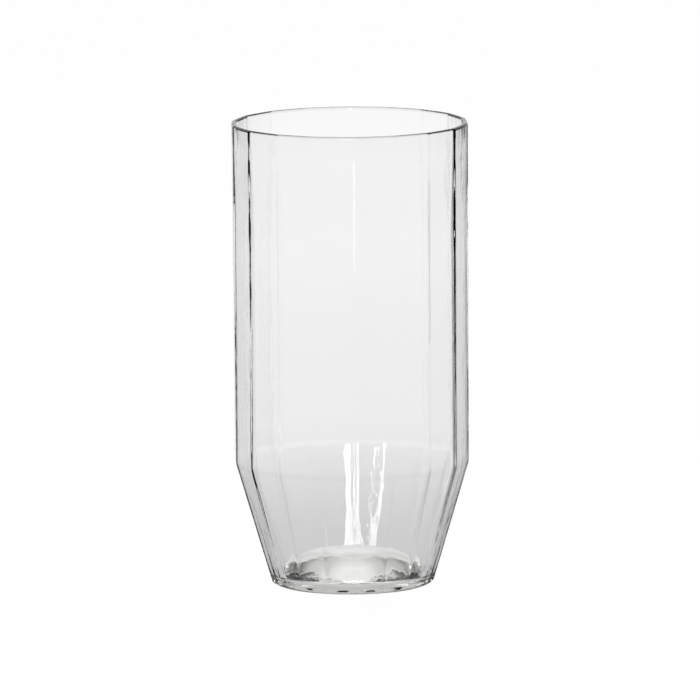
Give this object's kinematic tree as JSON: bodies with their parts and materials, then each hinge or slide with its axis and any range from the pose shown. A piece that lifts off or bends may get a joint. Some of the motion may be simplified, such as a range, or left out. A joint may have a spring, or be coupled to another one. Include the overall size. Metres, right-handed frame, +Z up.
{
  "type": "drinking glass",
  "caption": "Tall clear tumbler with flat facets round the outside, a crisp shoulder, a tapered foot and a thin round lip.",
  "frame": {"origin": "centre of the ring that the glass stands on, on the table", "axes": "+Z up along the axis of the glass; one corner between two facets faces -Y, the front"},
  "size_m": [0.071, 0.0716, 0.14],
  "materials": {
    "clear_glass": "clear, polished, colourless blown glass"
  },
  "bodies": {
    "root": {"tumbler": "clear_glass"}
  },
  "joints": []
}
